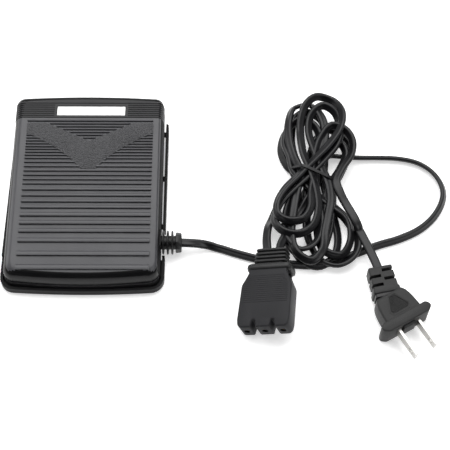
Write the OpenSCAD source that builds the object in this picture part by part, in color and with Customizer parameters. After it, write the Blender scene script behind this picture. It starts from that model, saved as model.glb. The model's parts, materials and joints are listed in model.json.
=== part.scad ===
// Sewing machine foot control: a hinged treadle cover on a shallow base with a
// carbon-track speed regulator inside, and its leads, machine connector and mains plug.
// Millimetres. Origin: centre of the foot plane. +X right, +Y towards the toe end, +Z up.
// Modules of the cover are drawn with the treadle pressed flat, then lifted to rest.

/* [Base] */
// Width of the base over its side fins
base_w = 93; // [90:0.5:98]
// Length of the pedal from the base's front lip to the cover's rear edge
pedal_l = 121; // [118:0.5:126]
// Height of the front lip's top edge
lip_top = 5.8; // [5:0.1:7]
// Height of the side fins' top edge
fin_top = 8; // [7:0.5:10]
// Thickness of lip and fins
lip_t = 1.6; // [1.2:0.1:2]
// Thickness of the base floor
floor_t = 1.8; // [1.5:0.1:2]
// How far the rubber feet stand out below the floor
foot_out = 1.2; // [1:0.1:1.5]

/* [Treadle cover] */
// Width of the cover at its skirt
cover_w = 88.6; // [86:0.2:89]
// Height of the tread surface with the treadle pressed flat
tread_z = 17; // [16.5:0.1:18]
// Wall thickness of the cover
wall_t = 2.2; // [1.8:0.1:2.4]
// Width of the ribbed tread
tread_w = 74.4; // [70:0.2:76]
// Height of the tread ribs
rib_h = 1; // [0.6:0.1:1.2]
// Share of each pitch that its rib fills
rib_share = 0.55; // [0.4:0.05:0.65]
// Angle of the treadle at rest
tilt = 6; // [4:0.5:6]

/* [Nameplate] */
// Length of the blank nameplate
plate_w = 40.4; // [36:0.2:44]
// Width of the blank nameplate
plate_l = 6.4; // [5:0.2:7]

/* [Leads] */
// Width of the flat twin flex
flex_w = 5.2; // [4.8:0.1:5.6]
// Thickness of the flat twin flex
flex_t = 2.8; // [2.4:0.1:3]
// Radius of the thin discs on the strain relief
disc_r = 6.9; // [6.5:0.1:7]

/* [Connectors] */
// Distance between neighbouring contact holes
pin_pitch = 10.4; // [10:0.1:10.6]
// Radius of each contact hole
pin_hole_r = 1.25; // [1:0.05:1.6]
// Distance between the plug's blades
blade_gap = 12.7; // [12.7:0.1:12.8]
// Length of each blade outside the plug
blade_l = 17; // [15:0.5:18]

/* [Hidden] */
$fn = 48;
EPS = 0.01;

base_front = -pedal_l / 2;
rear_edge = pedal_l / 2;
floor_z = foot_out;
floor_top = floor_z + floor_t;

hinge_y = -49;
hinge_z = 8;
// Front and rear of the lugs and caps that hold the rod
lug_front = hinge_y - 2.6;
lug_rear = hinge_y + 8.2;
rod_r = 1.5;
running_gap = 0.05;
// Left side, width and cap height of the two hinge lugs, and the line of their screws
LUGS = [-31, 27];
lug_w = 4;
cap_h = 3.4;
cap_screw_y = hinge_y + 6;
pilot_r = 1.2;
boss_r = 2.8;

// Feet, side bridges to the fins, and the posts that stop the treadle
FEET = [[-34, -48], [34, -48], [-30, 46], [30, 46]];
foot_r = 5.5;
foot_recess = 0.6;
OUTRIGGERS = [-16, 17, 49];
bumper_x = 28;
bumper_y = 48;
bumper_r = 4;
bumper_post = 10;

// Cover outline with the treadle flat; its rear skirt edge lies at rear_edge once lifted
skirt_low = 2.2;
cover_front = -56.2;
cover_rear = hinge_y + (rear_edge - hinge_y - (hinge_z - skirt_low) * sin(tilt)) / cos(tilt);
skirt_front_z = 4;
skirt_slope = atan2(skirt_front_z - skirt_low, cover_rear - cover_front);

// Each layer of the cover: height, inset of the sides, inset of the front, inset of the rear
COVER_LAYERS = [
    [0, 0, 0, 0], [10, 0.4, 0, 0.3], [13.2, 1.2, 0.4, 0.6],
    [15.4, 2.7, 1.4, 1.2], [tread_z, 5, 3.2, 2.6]];

// Rib groups of the tread from the toe towards the heel: how many, and their pitch
RIB_GROUPS = [
    [10, 1.9], [1, 1.7], [2, 2], [1, 2.1], [1, 2.5], [5, 2.8], [4, 3.8], [3, 5], [1, 6], [2, 8.2]];
first_rib_y = 42.6;
RIB_PITCHES = [for (g = RIB_GROUPS) for (i = [1:g[0]]) g[1]];
function rib_front(i) = i == 0 ? first_rib_y : rib_front(i - 1) - RIB_PITCHES[i];

// The grained V between the ribs: its outer lines, its tip, and the rib triangle inside it
v_top_y = 41.5;
v_shoulder_y = 34.4;
v_tip_y = 11.4;
v_tip_half = 4.6;
v_inner_half = 25.4;
v_inner_tip_y = 29.3;
// Length by which each rib runs into the V
v_lap = 0.6;
function v_outer_half(y) =
    v_tip_half + (tread_w / 2 - v_tip_half) * (y - v_tip_y) / (v_shoulder_y - v_tip_y);
function v_inner_width(y) = v_inner_half * (y - v_inner_tip_y) / (v_top_y - v_inner_tip_y);

// Toe band with its fine ribs and the nameplate
band_front = 45;
band_h = 0.6;
plate_y = 50.5;
fine_pitch = 1.5;
fine_count = 7;

// Inner tray of the base
tray_half = 40.2;
tray_t = 1.8;
tray_rear = 56.4;
tray_top = 11.2;
rear_wall_top = 14.2;
wide_end = -39;
fin_rear = 52.4;
notch_front = -38.6;
notch_rear = -21.4;

// Return springs
spring_x = 24;
spring_y = 36;
spring_r = 4.4;
spring_wire_r = 0.6;
spring_turns = 5;
spring_top = 20.6;

// Wiper lever
lever_y = 20;
lever_z = 7.5;
lever_l = 13.3;
lever_rest = 25;
lever_w = 4.4;
post_bottom = 9.2;

// Circuit board
board_x = [-36, 16];
board_y = [-40, -8];
board_z = 5;
board_t = 1.6;
board_top = board_z + board_t;
BOARD_SCREWS = [for (x = [board_x[0] + 3, board_x[1] - 3]) for (y = [board_y[0] + 3, board_y[1] - 3]) [x, y]];

// Strain relief and lead
relief_y = -30;
relief_z = 7.5;
relief_core_r = 4;
relief_end = 56;
clamp_x = 29;

// Machine connector: place of its contact face, turn, roll and size
conn_pos = [103, -86];
conn_turn = -6.5;
conn_roll = -20;
conn_w = 31;
conn_h = 12;
conn_l = 35;
conn_relief_l = 14;
conn_relief_w = 19;
conn_lift = conn_w / 2 * sin(abs(conn_roll)) + conn_h / 2 * cos(conn_roll) + 0.05;
conn_lead_x = 3.6;
conn_end = conn_l + conn_relief_l;
// Outer radius of the contact sleeves
sleeve_r = 2;
CONN_OUTLINE = let (h = conn_w / 2) [
    [-h, 0], [-h + 8.2, 0], [-h + 9, 1.6], [-h + 10.4, 1.6], [-h + 11.2, 0],
    [h - 11.2, 0], [h - 10.4, 1.6], [h - 9, 1.6], [h - 8.2, 0], [h, 0],
    [h - 0.4, 25], [h - 4.4, conn_l - 2.4], [h - 4.4, conn_l], [-h + 4.4, conn_l],
    [-h + 4.4, conn_l - 2.4], [-h + 0.4, 25]];
// Where the two leads leave the connector's relief; side is -1 or 1
function conn_lead(side) = let (x = side * conn_lead_x * cos(conn_roll)) [
    conn_pos[0] + x * cos(conn_turn) - conn_end * sin(conn_turn),
    conn_pos[1] + x * sin(conn_turn) + conn_end * cos(conn_turn),
    conn_lift - side * conn_lead_x * sin(conn_roll)];

// Mains plug: place of its face, turn and size
plug_pos = [182, -82.2];
plug_turn = 30;
plug_z = 7.6;
plug_relief_bend = 18;
plug_relief_l = 17.4;
plug_neck_y = 20.6;
// Where the lead enters the plug's relief
plug_lead = [
    plug_pos[0] - plug_neck_y * sin(plug_turn) - plug_relief_l * sin(plug_turn - plug_relief_bend),
    plug_pos[1] + plug_neck_y * cos(plug_turn) + plug_relief_l * cos(plug_turn - plug_relief_bend),
    plug_z];
flange_w = 32;
flange_h = 15;
flange_t = 6;
PLUG_OUTLINE = [
    [-11.4, flange_t], [-10.8, 12], [-8.6, 21], [8.6, 21], [10.8, 12], [11.4, flange_t]];
FLANGE_OUTLINE = [
    [-flange_w / 2, 2.2], [-flange_w / 2 + 3, 0], [flange_w / 2 - 3, 0], [flange_w / 2, 2.2],
    [flange_w / 2 - 1.6, flange_t], [-flange_w / 2 + 1.6, flange_t]];

// Routes of the leads where they aren't bundled
PEDAL_ROUTE = [
    [56, -30, 7.5], [61, -30, 7.1], [66, -29.6, 5.6], [72, -29.6, 3.4], [79, -31.4, 1.8],
    [86, -33.8, 1.5], [98, -37.4, 1.5], [109, -40, 1.5], [119, -41.2, 1.5], [131, -41.8, 1.5],
    [144, -39.4, 1.5], [157, -34, 1.5], [170, -28.6, 1.5], [182, -24.6, 1.5], [194, -18.6, 1.5],
    [203, -10.6, 1.5], [209, -1, 1.5], [211, 7, 1.5], [209.6, 15, 1.5], [205, 22.6, 1.5],
    [197, 28.4, 1.5], [186, 31.2, 1.5], [174, 31.8, 1.5], [162, 31.8, 1.8], [151, 32.4, 2.6]];
LEFT_ROUTE = [
    conn_lead(-1), [105.2, -31, 8.6], [105, -24, 7], [106.2, -15.6, 6.4], [110.6, -6.6, 6.4]];
RIGHT_ROUTE = [conn_lead(1), [113, -32.4, 11], [115.8, -26.4, 9.4]];
MAINS_ROUTE = [
    [156.2, -15, 7], [158.8, -21, 6.6], [161, -26.6, 6.2], [163, -31.6, 6], [165, -37, 6.2],
    [166.8, -42, 7], plug_lead];

// Bundle of leads
hank_h = 13;
HANK_TOP = [136.5, 50, 22.5];
HANK_LOW = [133.5, -12, 23];
hank_waist = [[120, 6], [147.5, 34]];
tie_y = 18;

// ---------- helpers ----------

function arc(x, y, r, from, to, n) =
    [for (i = [0:n]) let (a = from + (to - from) * i / n) [x + r * cos(a), y + r * sin(a)]];

// Closed outline with straight sides, bowed front and rear edges and round corners
function bowed(half, front, rear, bow_f, bow_r, r_f, r_r) = let (
    in_f = half - r_f, in_r = half - r_r,
    yf = front + bow_f * pow(in_f / half, 2) + r_f,
    yr = rear - bow_r * pow(in_r / half, 2) - r_r) concat(
    [for (i = [-5:5]) [in_f * i / 6, front + bow_f * pow(in_f * i / 6 / half, 2)]],
    arc(in_f, yf, r_f, -90, 0, 6),
    arc(in_r, yr, r_r, 0, 90, 6),
    [for (i = [5:-1:-5]) [in_r * i / 6, rear - bow_r * pow(in_r * i / 6 / half, 2)]],
    arc(-in_r, yr, r_r, 90, 180, 6),
    arc(-in_f, yf, r_f, 180, 270, 6));

function unit(v) = v / norm(v);
function heading(p, i) = unit(p[min(i + 1, len(p) - 1)] - p[max(i - 1, 0)]);
function flat_ring(centre, along, w, t, n) = let (
    across = unit(cross([0, 0, 1], along)), up = cross(along, across))
    [for (k = [0:n - 1]) centre + across * w / 2 * cos(360 * k / n) + up * t / 2 * sin(360 * k / n)];

// Closed tube with an oval section, width by thickness, through the points of a route
module tube(route, width, thickness, n = 8) {
    last = len(route) - 1;
    points = [for (i = [0:last]) each flat_ring(route[i], heading(route, i), width, thickness, n)];
    walls = [for (i = [0:last - 1]) for (k = [0:n - 1])
        [(i + 1) * n + k, (i + 1) * n + (k + 1) % n, i * n + (k + 1) % n, i * n + k]];
    caps = [[for (k = [0:n - 1]) k], [for (k = [n - 1:-1:0]) last * n + k]];
    polyhedron(points, concat(walls, caps));
}

module block(low, high) {
    translate(low) cube(high - low);
}

// Cylinder along X
module rod_x(x0, x1, y, z, r) {
    translate([x0, y, z]) rotate([0, 90, 0]) cylinder(h = x1 - x0, r = r);
}

// Lifts what is drawn with the treadle flat to the rest position
module at_rest() {
    translate([0, hinge_y, hinge_z]) rotate([tilt, 0, 0]) translate([0, -hinge_y, -hinge_z]) children();
}

module screw(x, y, top, head_r, head_h, shank_r, shank_l) {
    difference() {
        union() {
            translate([x, y, top]) cylinder(h = head_h, r = head_r);
            translate([x, y, top - shank_l]) cylinder(h = shank_l + EPS, r = shank_r);
        }
        translate([x - head_r * 0.7, y - 0.3, top + head_h - 0.6]) cube([head_r * 1.4, 0.6, 1]);
        translate([x - 0.3, y - head_r * 0.7, top + head_h - 0.6]) cube([0.6, head_r * 1.4, 1]);
    }
}

// ---------- base ----------

module base_outline(inset) {
    polygon(bowed(base_w / 2 - inset, base_front + inset, fin_rear, 1.8, 0, 8 - inset, 0.7));
}

module tray_outline(inset) {
    polygon(bowed(tray_half - inset, wide_end - 5, tray_rear - inset, 0, 1.4, 0.5, 4 - inset));
}

module lip_and_fins() {
    difference() {
        translate([0, 0, floor_z]) linear_extrude(fin_top - floor_z) base_outline(0);
        linear_extrude(fin_top + 1) base_outline(lip_t);
        // open towards the toe
        block([-base_w / 2 + lip_t, 0, -1], [base_w / 2 - lip_t, rear_edge, fin_top + 1]);
        // the front lip is lower than the fins
        block([-base_w, base_front - 1, lip_top], [base_w, wide_end, fin_top + 1]);
        // gap for the strain relief
        block([0, notch_front, -1], [base_w, notch_rear, fin_top + 1]);
    }
}

module outriggers() {
    for (side = [-1, 1]) for (y = OUTRIGGERS)
        block([side > 0 ? tray_half - 2 : -base_w / 2 + lip_t / 2, y - 1.5, 0.5],
              [side > 0 ? base_w / 2 - lip_t / 2 : -tray_half + 2, y + 1.5, 1.9]);
}

// Blind hole for a self-tapping screw
module pilot_hole(x, y) {
    translate([x, y, floor_z + 0.6]) cylinder(h = 8, r = pilot_r);
}

module base_housing() {
    color([0.06, 0.06, 0.065]) difference() {
        union() {
            // wide floor at the heel and the tray's floor
            translate([0, 0, floor_z]) linear_extrude(floor_t) intersection() {
                base_outline(0);
                translate([-base_w / 2, base_front]) square([base_w, wide_end - base_front]);
            }
            translate([0, 0, floor_z]) linear_extrude(floor_t) tray_outline(0);
            lip_and_fins();
            outriggers();
            // tray walls
            translate([0, 0, floor_z]) linear_extrude(tray_top - floor_z) difference() {
                tray_outline(0);
                tray_outline(tray_t);
                translate([-tray_half - 1, wide_end - 6]) square([2 * tray_half + 2, 8]);
            }
            block([-34, tray_rear - 3.6, floor_z], [34, tray_rear - 1.8, rear_wall_top]);
            // hinge lugs, lower halves
            for (x = LUGS) block([x, lug_front, floor_z], [x + lug_w, lug_rear, hinge_z]);
            // board bosses, clamp saddle, spring posts, bumper posts, lever lugs
            for (p = BOARD_SCREWS)
                translate([p[0], p[1], floor_z]) cylinder(h = board_z - floor_z, r = boss_r);
            block([clamp_x - 3, relief_y - 10.5, floor_z],
                  [clamp_x + 3, relief_y + 10.5, relief_z - flex_t / 2]);
            for (x = [-spring_x, spring_x]) translate([x, spring_y, floor_z]) cylinder(h = 7, r = boss_r);
            for (x = [-bumper_x, bumper_x])
                translate([x, bumper_y, floor_z]) cylinder(h = bumper_post, r = bumper_r);
            for (x = [-5.2, 3.2]) block([x, lever_y - 2, floor_z], [x + 2, lever_y + 2, lever_z + 2]);
        }
        // rod groove, lever pin holes and screw holes
        rod_x(-32, 32, hinge_y, hinge_z, rod_r);
        rod_x(-6, 6, lever_y, lever_z, 1);
        for (p = BOARD_SCREWS) pilot_hole(p[0], p[1]);
        for (y = [relief_y - 8, relief_y + 8]) pilot_hole(clamp_x, y);
        for (x = LUGS) pilot_hole(x + lug_w / 2, cap_screw_y);
        // slot for the strain relief
        rod_x(tray_half - 3, tray_half + 1, relief_y, relief_z, relief_core_r);
        block([tray_half - 3, relief_y - relief_core_r, relief_z],
              [tray_half + 1, relief_y + relief_core_r, tray_top + 1]);
        // recesses for the feet
        for (p = FEET) translate([p[0], p[1], floor_z - 1]) cylinder(h = 1 + foot_recess, r = foot_r);
    }
}

module rubber_feet() {
    color([0.09, 0.09, 0.09]) for (p = FEET)
        translate([p[0], p[1], 0]) cylinder(h = floor_z + foot_recess, r = foot_r);
}

module hinge_rod() {
    color("silver") rod_x(-38.4, 38.4, hinge_y, hinge_z, rod_r);
}

module hinge_caps() {
    color([0.1, 0.1, 0.1]) for (x = LUGS) difference() {
        block([x, lug_front, hinge_z], [x + lug_w, lug_rear, hinge_z + cap_h]);
        rod_x(x - 1, x + lug_w + 1, hinge_y, hinge_z, rod_r);
        translate([x + lug_w / 2, cap_screw_y, hinge_z - 1]) cylinder(h = cap_h + 2.6, r = pilot_r);
    }
}

module cap_screws() {
    color("silver") for (x = LUGS)
        screw(x + lug_w / 2, cap_screw_y, hinge_z + cap_h, 1.9, 1.3, pilot_r, 8);
}

module rod_washers() {
    color("silver") for (x = [-37.6, 36.8]) difference() {
        rod_x(x, x + 0.8, hinge_y, hinge_z, 2.6);
        rod_x(x - 1, x + 2, hinge_y, hinge_z, rod_r);
    }
}

// ---------- treadle ----------

module cover_layer(layer, inset, drop) {
    outline = bowed(cover_w / 2 - layer[1] - inset, cover_front + layer[2] + inset,
        cover_rear - layer[3] - inset, 2.6, 1.5, max(6.5 - inset, 1), max(4 - inset, 1));
    translate([0, 0, layer[0] - drop]) linear_extrude(EPS) polygon(outline);
}

module cover_solid(inset, drop) {
    hull() for (layer = COVER_LAYERS) cover_layer(layer, inset, drop);
}

// One tread rib, from x0 to x1, with its front wall at y
module tread_rib(x0, x1, y, pitch) {
    block([x0, y, tread_z - 0.3], [x1, y + pitch * rib_share, tread_z + rib_h]);
}

module tread_ribs() {
    half = tread_w / 2;
    for (i = [0:len(RIB_PITCHES) - 1]) {
        y = rib_front(i);
        pitch = RIB_PITCHES[i];
        if (y > v_top_y || y < v_tip_y - 1) tread_rib(-half, half, y, pitch);
        else {
            inner = v_inner_width(y) + v_lap;
            outer = v_outer_half(y) - v_lap;
            if (y > v_inner_tip_y + 1) tread_rib(-inner, inner, y, pitch);
            if (y < v_shoulder_y - 1) {
                tread_rib(-half, -outer, y, pitch);
                tread_rib(outer, half, y, pitch);
            }
        }
    }
}

module grained_v() {
    half = tread_w / 2 - 0.1;
    translate([0, 0, tread_z - 0.3]) linear_extrude(rib_h + 0.2) polygon([
        [-half, v_top_y], [-v_inner_half, v_top_y], [0, v_inner_tip_y], [v_inner_half, v_top_y],
        [half, v_top_y], [half, v_shoulder_y], [v_tip_half, v_tip_y], [-v_tip_half, v_tip_y],
        [-half, v_shoulder_y]]);
}

module toe_band() {
    difference() {
        block([-39.2, band_front, tread_z - 0.3], [39.2, cover_rear - 4.2, tread_z + band_h]);
        for (i = [0:fine_count - 1]) for (x = [-40, plate_w / 2 + 1.6])
            block([x, band_front + 0.9 + i * fine_pitch, tread_z + band_h - 0.4],
                  [x + 40 - plate_w / 2 - 1.6, band_front + 1.6 + i * fine_pitch, tread_z + 2]);
    }
}

module treadle_cover() {
    color([0.09, 0.09, 0.095]) at_rest() difference() {
        union() {
            difference() {
                union() {
                    cover_solid(0, 0);
                    toe_band();
                }
                translate([0, 0, -1]) cover_solid(wall_t, wall_t - 1);
            }
            tread_ribs();
            grained_v();
            // hinge ears
            for (x = [-36.4, 31.4]) {
                block([x, hinge_y - 3.4, hinge_z], [x + 5, hinge_y + 3.4, tread_z - wall_t + 0.5]);
                rod_x(x, x + 5, hinge_y, hinge_z, 3.4);
            }
            // spring bosses and the post that presses the lever
            for (x = [-spring_x, spring_x])
                translate([x, spring_y, 12.6]) cylinder(h = tread_z - wall_t - 12.3, r = 5.6);
            block([-1.6, 6.4, post_bottom], [1.6, 9.6, tread_z - wall_t + 0.5]);
        }
        rod_x(-42, 42, hinge_y, hinge_z, rod_r + running_gap);
        // bottom edge of the skirt, rising a little towards the heel
        translate([-60, cover_front - 1, skirt_front_z]) rotate([-skirt_slope, 0, 0])
            translate([0, -5, -20]) cube([120, 140, 20]);
        // gap over the strain relief
        block([cover_w / 2 - 6, relief_y - 5, 0], [cover_w, relief_y + 5, 12.8]);
        // pocket for the nameplate
        block([-plate_w / 2 - 0.5, plate_y - plate_l / 2 - 0.5, tread_z + band_h - 0.9],
              [plate_w / 2 + 0.5, plate_y + plate_l / 2 + 0.5, tread_z + 3]);
    }
}

module nameplate() {
    color("white") at_rest()
        block([-plate_w / 2, plate_y - plate_l / 2, tread_z + band_h - 0.9],
              [plate_w / 2, plate_y + plate_l / 2, tread_z + band_h - 0.2]);
}

function coil_point(turn) =
    [spring_r * cos(360 * turn), spring_r * sin(360 * turn),
     floor_top + spring_wire_r + (spring_top - floor_top - 2 * spring_wire_r) * turn / spring_turns];

module spring_coil() {
    steps = 14;
    points = [for (i = [0:steps * spring_turns]) coil_point(i / steps)];
    tube(points, 2 * spring_wire_r, 2 * spring_wire_r, 6);
}

module return_springs() {
    color("silver") for (x = [-spring_x, spring_x]) translate([x, spring_y, 0]) spring_coil();
}

module stop_bumpers() {
    color([0.15, 0.15, 0.15]) for (x = [-bumper_x, bumper_x])
        translate([x, bumper_y, floor_z + bumper_post]) cylinder(h = 3, r = bumper_r);
}

// ---------- speed regulator ----------

module lever_frame() {
    translate([0, lever_y, lever_z]) rotate([-lever_rest, 0, 0]) children();
}

module wiper_lever() {
    color([0.75, 0.72, 0.62]) lever_frame() difference() {
        union() {
            block([-lever_w / 2, -lever_l, -1.2], [lever_w / 2, 7, 1.2]);
            rod_x(-lever_w / 2, lever_w / 2, -lever_l, 0, 1.2);
            rod_x(-lever_w / 2, lever_w / 2, 0, 0, 2.2);
        }
        rod_x(-5, 5, 0, 0, 1 + running_gap);
    }
}

module lever_pin() {
    color("silver") rod_x(-5.2, 5.2, lever_y, lever_z, 1);
}

module wiper_contact() {
    color([0.8, 0.55, 0.3]) lever_frame() {
        block([-1.6, 3.4, 1.2], [1.6, 7, 1.6]);
        block([-1.6, 5.2, 1.6 - EPS], [5.8, 7, 2]);
        block([5.4, 5.2, 0], [5.8, 7, 2]);
    }
}

module track_block() {
    color([0.9, 0.88, 0.82]) block([6.4, 22.6, floor_top], [10.4, 34, 11]);
}

module carbon_track() {
    color([0.12, 0.12, 0.12]) block([6.2, 23.6, 4], [6.4, 31, 10.4]);
}

module circuit_board() {
    color([0.1, 0.35, 0.2]) difference() {
        block([board_x[0], board_y[0], board_z], [board_x[1], board_y[1], board_top]);
        for (p = BOARD_SCREWS) translate([p[0], p[1], 0]) cylinder(h = 10, r = 1.2);
    }
}

module board_screws() {
    color("silver") for (p = BOARD_SCREWS) screw(p[0], p[1], board_top, 2.1, 1.4, 1.2, 4);
}

module choke_coil() {
    color([0.7, 0.35, 0.15]) translate([-25, -18.4, board_top + 3.2]) {
        rotate_extrude() translate([5.4, 0]) circle(r = 3.2);
    }
}

module capacitor() {
    color([0.75, 0.6, 0.15]) block([-14, -17, board_top], [4, -10, board_top + 6.8]);
}

module triac() {
    color([0.1, 0.1, 0.1]) block([-12, -36, board_top + 0.2], [-2, -27, board_top + 4.4]);
}

module heat_sink() {
    color("silver") {
        block([-26, -37, board_top], [-14.4, -35.6, board_top + 6.4]);
        block([-26, -29, board_top], [-14.4, -27.6, board_top + 6.4]);
        block([-15.6, -35.6 - EPS, board_top], [-14.4, -29 + EPS, board_top + 6.4]);
        block([-14.4 - EPS, -34.4, board_top + 1.4], [-12, -30, board_top + 3.4]);
    }
}

module resistors() {
    color([0.75, 0.65, 0.5]) for (x = [-9, -5.2, -1.4]) {
        translate([x, -25.4, board_top + 1.3]) rotate([-90, 0, 0]) cylinder(h = 6.4, r = 1.1);
        translate([x, -26.2, board_top + 1.3]) rotate([-90, 0, 0]) cylinder(h = 8, r = 0.3);
    }
}

module terminal_block() {
    color([0.85, 0.85, 0.8]) difference() {
        block([6, -33.6, board_top], [14, -13.6, board_top + 6.6]);
        for (y = [-30.8, -23.5, -16.2]) {
            translate([10, y, board_top + 3]) cylinder(h = 5, r = 1.8);
            rod_x(11, 15, y, board_top + 2.4, 1.4);
        }
    }
}

module terminal_screws() {
    color([0.8, 0.7, 0.35]) for (y = [-30.8, -23.5, -16.2])
        screw(10, y, board_top + 4.2, 1.7, 1.2, 1, 1.1);
}

module wire(route) {
    tube(route, 1.6, 1.6, 8);
}

module internal_wires() {
    wire_z = board_top + 2.4;
    color([0.5, 0.12, 0.1]) {
        wire([[11.4, -30.8, wire_z], [16, -30.8, wire_z], [20, -31, 8.2], [24.6, -31.4, relief_z]]);
        wire([[11.4, -23.5, wire_z], [16, -23.6, wire_z], [20, -26.4, 8.2], [24.6, -28.6, relief_z]]);
        wire([[11.4, -16.2, wire_z], [16, -15.6, wire_z], [18.6, -8, 8.4], [17, 6, 7], [12, 19, 6], [10, 22.6, 6]]);
    }
}

module lead_tail() {
    color([0.05, 0.05, 0.05]) block([24.6, relief_y - flex_w / 2, relief_z - flex_t / 2],
        [36.4, relief_y + flex_w / 2, relief_z + flex_t / 2]);
}

module cord_clamp() {
    color([0.85, 0.85, 0.8]) difference() {
        block([clamp_x - 3, relief_y - 10.5, relief_z - flex_t / 2],
              [clamp_x + 3, relief_y + 10.5, relief_z + flex_t / 2 + 2]);
        block([clamp_x - 4, relief_y - flex_w / 2, relief_z - flex_t],
              [clamp_x + 4, relief_y + flex_w / 2, relief_z + flex_t / 2]);
        for (y = [relief_y - 8, relief_y + 8]) translate([clamp_x, y, 0]) cylinder(h = 20, r = 1.2);
    }
}

module clamp_screws() {
    color("silver") for (y = [relief_y - 8, relief_y + 8])
        screw(clamp_x, y, relief_z + flex_t / 2 + 2, 2.1, 1.4, 1.2, 7);
}

// ---------- lead and its strain relief ----------

module strain_relief() {
    color([0.05, 0.05, 0.05]) union() {
        rod_x(36.4, 38.4 + EPS, relief_y, relief_z, 4.4);
        rod_x(38.4, 53 + EPS, relief_y, relief_z, relief_core_r);
        for (x = [45, 47.6, 50.2]) rod_x(x, x + 1.3, relief_y, relief_z, disc_r);
        rod_x(53, relief_end, relief_y, relief_z, 5.9);
    }
}

module pedal_lead() {
    color([0.04, 0.04, 0.04]) tube(PEDAL_ROUTE, flex_w, flex_t);
}

module lead_bundle() {
    color([0.04, 0.04, 0.04]) linear_extrude(hank_h) difference() {
        union() {
            translate([HANK_TOP[0], HANK_TOP[1]]) circle(r = HANK_TOP[2]);
            translate([HANK_LOW[0], HANK_LOW[1]]) circle(r = HANK_LOW[2]);
            translate(hank_waist[0]) square(hank_waist[1] - hank_waist[0]);
        }
        // room for the tie round the waist
        for (x = [hank_waist[0][0], hank_waist[1][0]]) translate([x, tie_y]) square([2.4, 3], center = true);
    }
}

module bundle_tie() {
    low = hank_waist[0][0];
    high = hank_waist[1][0];
    color([0.05, 0.05, 0.05]) difference() {
        block([low - 1.2, tie_y - 1.2, 0.6], [high + 1.2, tie_y + 1.2, hank_h + 1.2]);
        block([low + 1.2, tie_y - 2, -1], [high - 1.2, tie_y + 2, hank_h]);
        block([low - 2, tie_y - 2, hank_h], [low, tie_y + 2, hank_h + 2]);
        block([high, tie_y - 2, hank_h], [high + 2, tie_y + 2, hank_h + 2]);
    }
}

module connector_leads() {
    color([0.04, 0.04, 0.04]) {
        tube(LEFT_ROUTE, flex_t, flex_w);
        tube(RIGHT_ROUTE, flex_t, flex_w);
    }
}

module mains_lead() {
    color([0.04, 0.04, 0.04]) tube(MAINS_ROUTE, flex_w, flex_t);
}

// ---------- machine connector ----------

// Frame of the connector: origin at the centre of its contact face, +Y towards its leads
module conn_frame() {
    translate([conn_pos[0], conn_pos[1], conn_lift])
        rotate([0, 0, conn_turn]) rotate([0, conn_roll, 0]) children();
}

module connector_body() {
    color([0.12, 0.12, 0.125]) conn_frame() difference() {
        translate([0, 0, -conn_h / 2]) linear_extrude(conn_h) polygon(CONN_OUTLINE);
        for (i = [-1, 0, 1])
            translate([i * pin_pitch, -1, 0]) rotate([-90, 0, 0]) cylinder(h = conn_l + 2, r = sleeve_r);
    }
}

module contact_sleeves() {
    color([0.8, 0.65, 0.3]) conn_frame() for (i = [-1, 0, 1]) translate([i * pin_pitch, 0.4, 0])
        rotate([-90, 0, 0]) difference() {
            cylinder(h = 21.6, r = sleeve_r);
            translate([0, 0, -1]) cylinder(h = 19, r = pin_hole_r);
        }
}

module connector_relief() {
    w = conn_relief_w;
    color([0.05, 0.05, 0.05]) conn_frame() difference() {
        union() {
            block([-13, conn_l, -5.2], [13, conn_l + 2.6, 5.2]);
            block([-w / 2, conn_l, -4.2], [w / 2, conn_l + conn_relief_l, 4.2]);
        }
        for (i = [0:3]) for (z = [-5, 3])
            block([-w / 2 + 1.6, conn_l + 4 + i * 2.5, z], [w / 2 - 1.6, conn_l + 5.2 + i * 2.5, z + 2]);
    }
}

// ---------- mains plug ----------

// Frame of the plug: origin at the centre of its face, +Y towards its lead
module plug_frame() {
    translate([plug_pos[0], plug_pos[1], plug_z]) rotate([0, 0, plug_turn]) children();
}

module plug_body() {
    color([0.06, 0.06, 0.065]) plug_frame() difference() {
        union() {
            translate([0, 0, -flange_h / 2]) linear_extrude(flange_h) polygon(FLANGE_OUTLINE);
            translate([0, 0, -6.4]) linear_extrude(12.8) polygon(PLUG_OUTLINE);
            block([-4, -1.6, -4.4], [4, EPS, 4.4]);
            translate([0, plug_neck_y, 0]) rotate([0, 0, -plug_relief_bend]) difference() {
                block([-6.8, 0, -5], [6.8, plug_relief_l, 5]);
                for (i = [0:2]) for (side = [-1, 1])
                    block([side > 0 ? 1 : -8, 4.6 + i * 4.4, -6], [side > 0 ? 8 : -1, 6.2 + i * 4.4, -3]);
                for (i = [0:2]) for (side = [-1, 1])
                    block([side > 0 ? 1 : -8, 4.6 + i * 4.4, 3], [side > 0 ? 8 : -1, 6.2 + i * 4.4, 6]);
            }
        }
        for (x = [-1, 1]) block([x * blade_gap / 2 - 0.75, -2, -3.175], [x * blade_gap / 2 + 0.75, 8, 3.175]);
    }
}

module plug_blades() {
    color("silver") plug_frame() for (x = [-1, 1]) difference() {
        block([x * blade_gap / 2 - 0.75, -blade_l, -3.175], [x * blade_gap / 2 + 0.75, 8, 3.175]);
        rod_x(x * blade_gap / 2 - 2, x * blade_gap / 2 + 2, -blade_l + 4, 0, 1.6);
    }
}

// ---------- what is drawn ----------

base_housing();
rubber_feet();
hinge_rod();
hinge_caps();
cap_screws();
rod_washers();
treadle_cover();
nameplate();
return_springs();
stop_bumpers();
wiper_lever();
lever_pin();
wiper_contact();
track_block();
carbon_track();
circuit_board();
board_screws();
choke_coil();
capacitor();
triac();
heat_sink();
resistors();
terminal_block();
terminal_screws();
internal_wires();
lead_tail();
cord_clamp();
clamp_screws();
strain_relief();
pedal_lead();
lead_bundle();
bundle_tie();
connector_leads();
connector_body();
connector_relief();
contact_sleeves();
mains_lead();
plug_body();
plug_blades();
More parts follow.
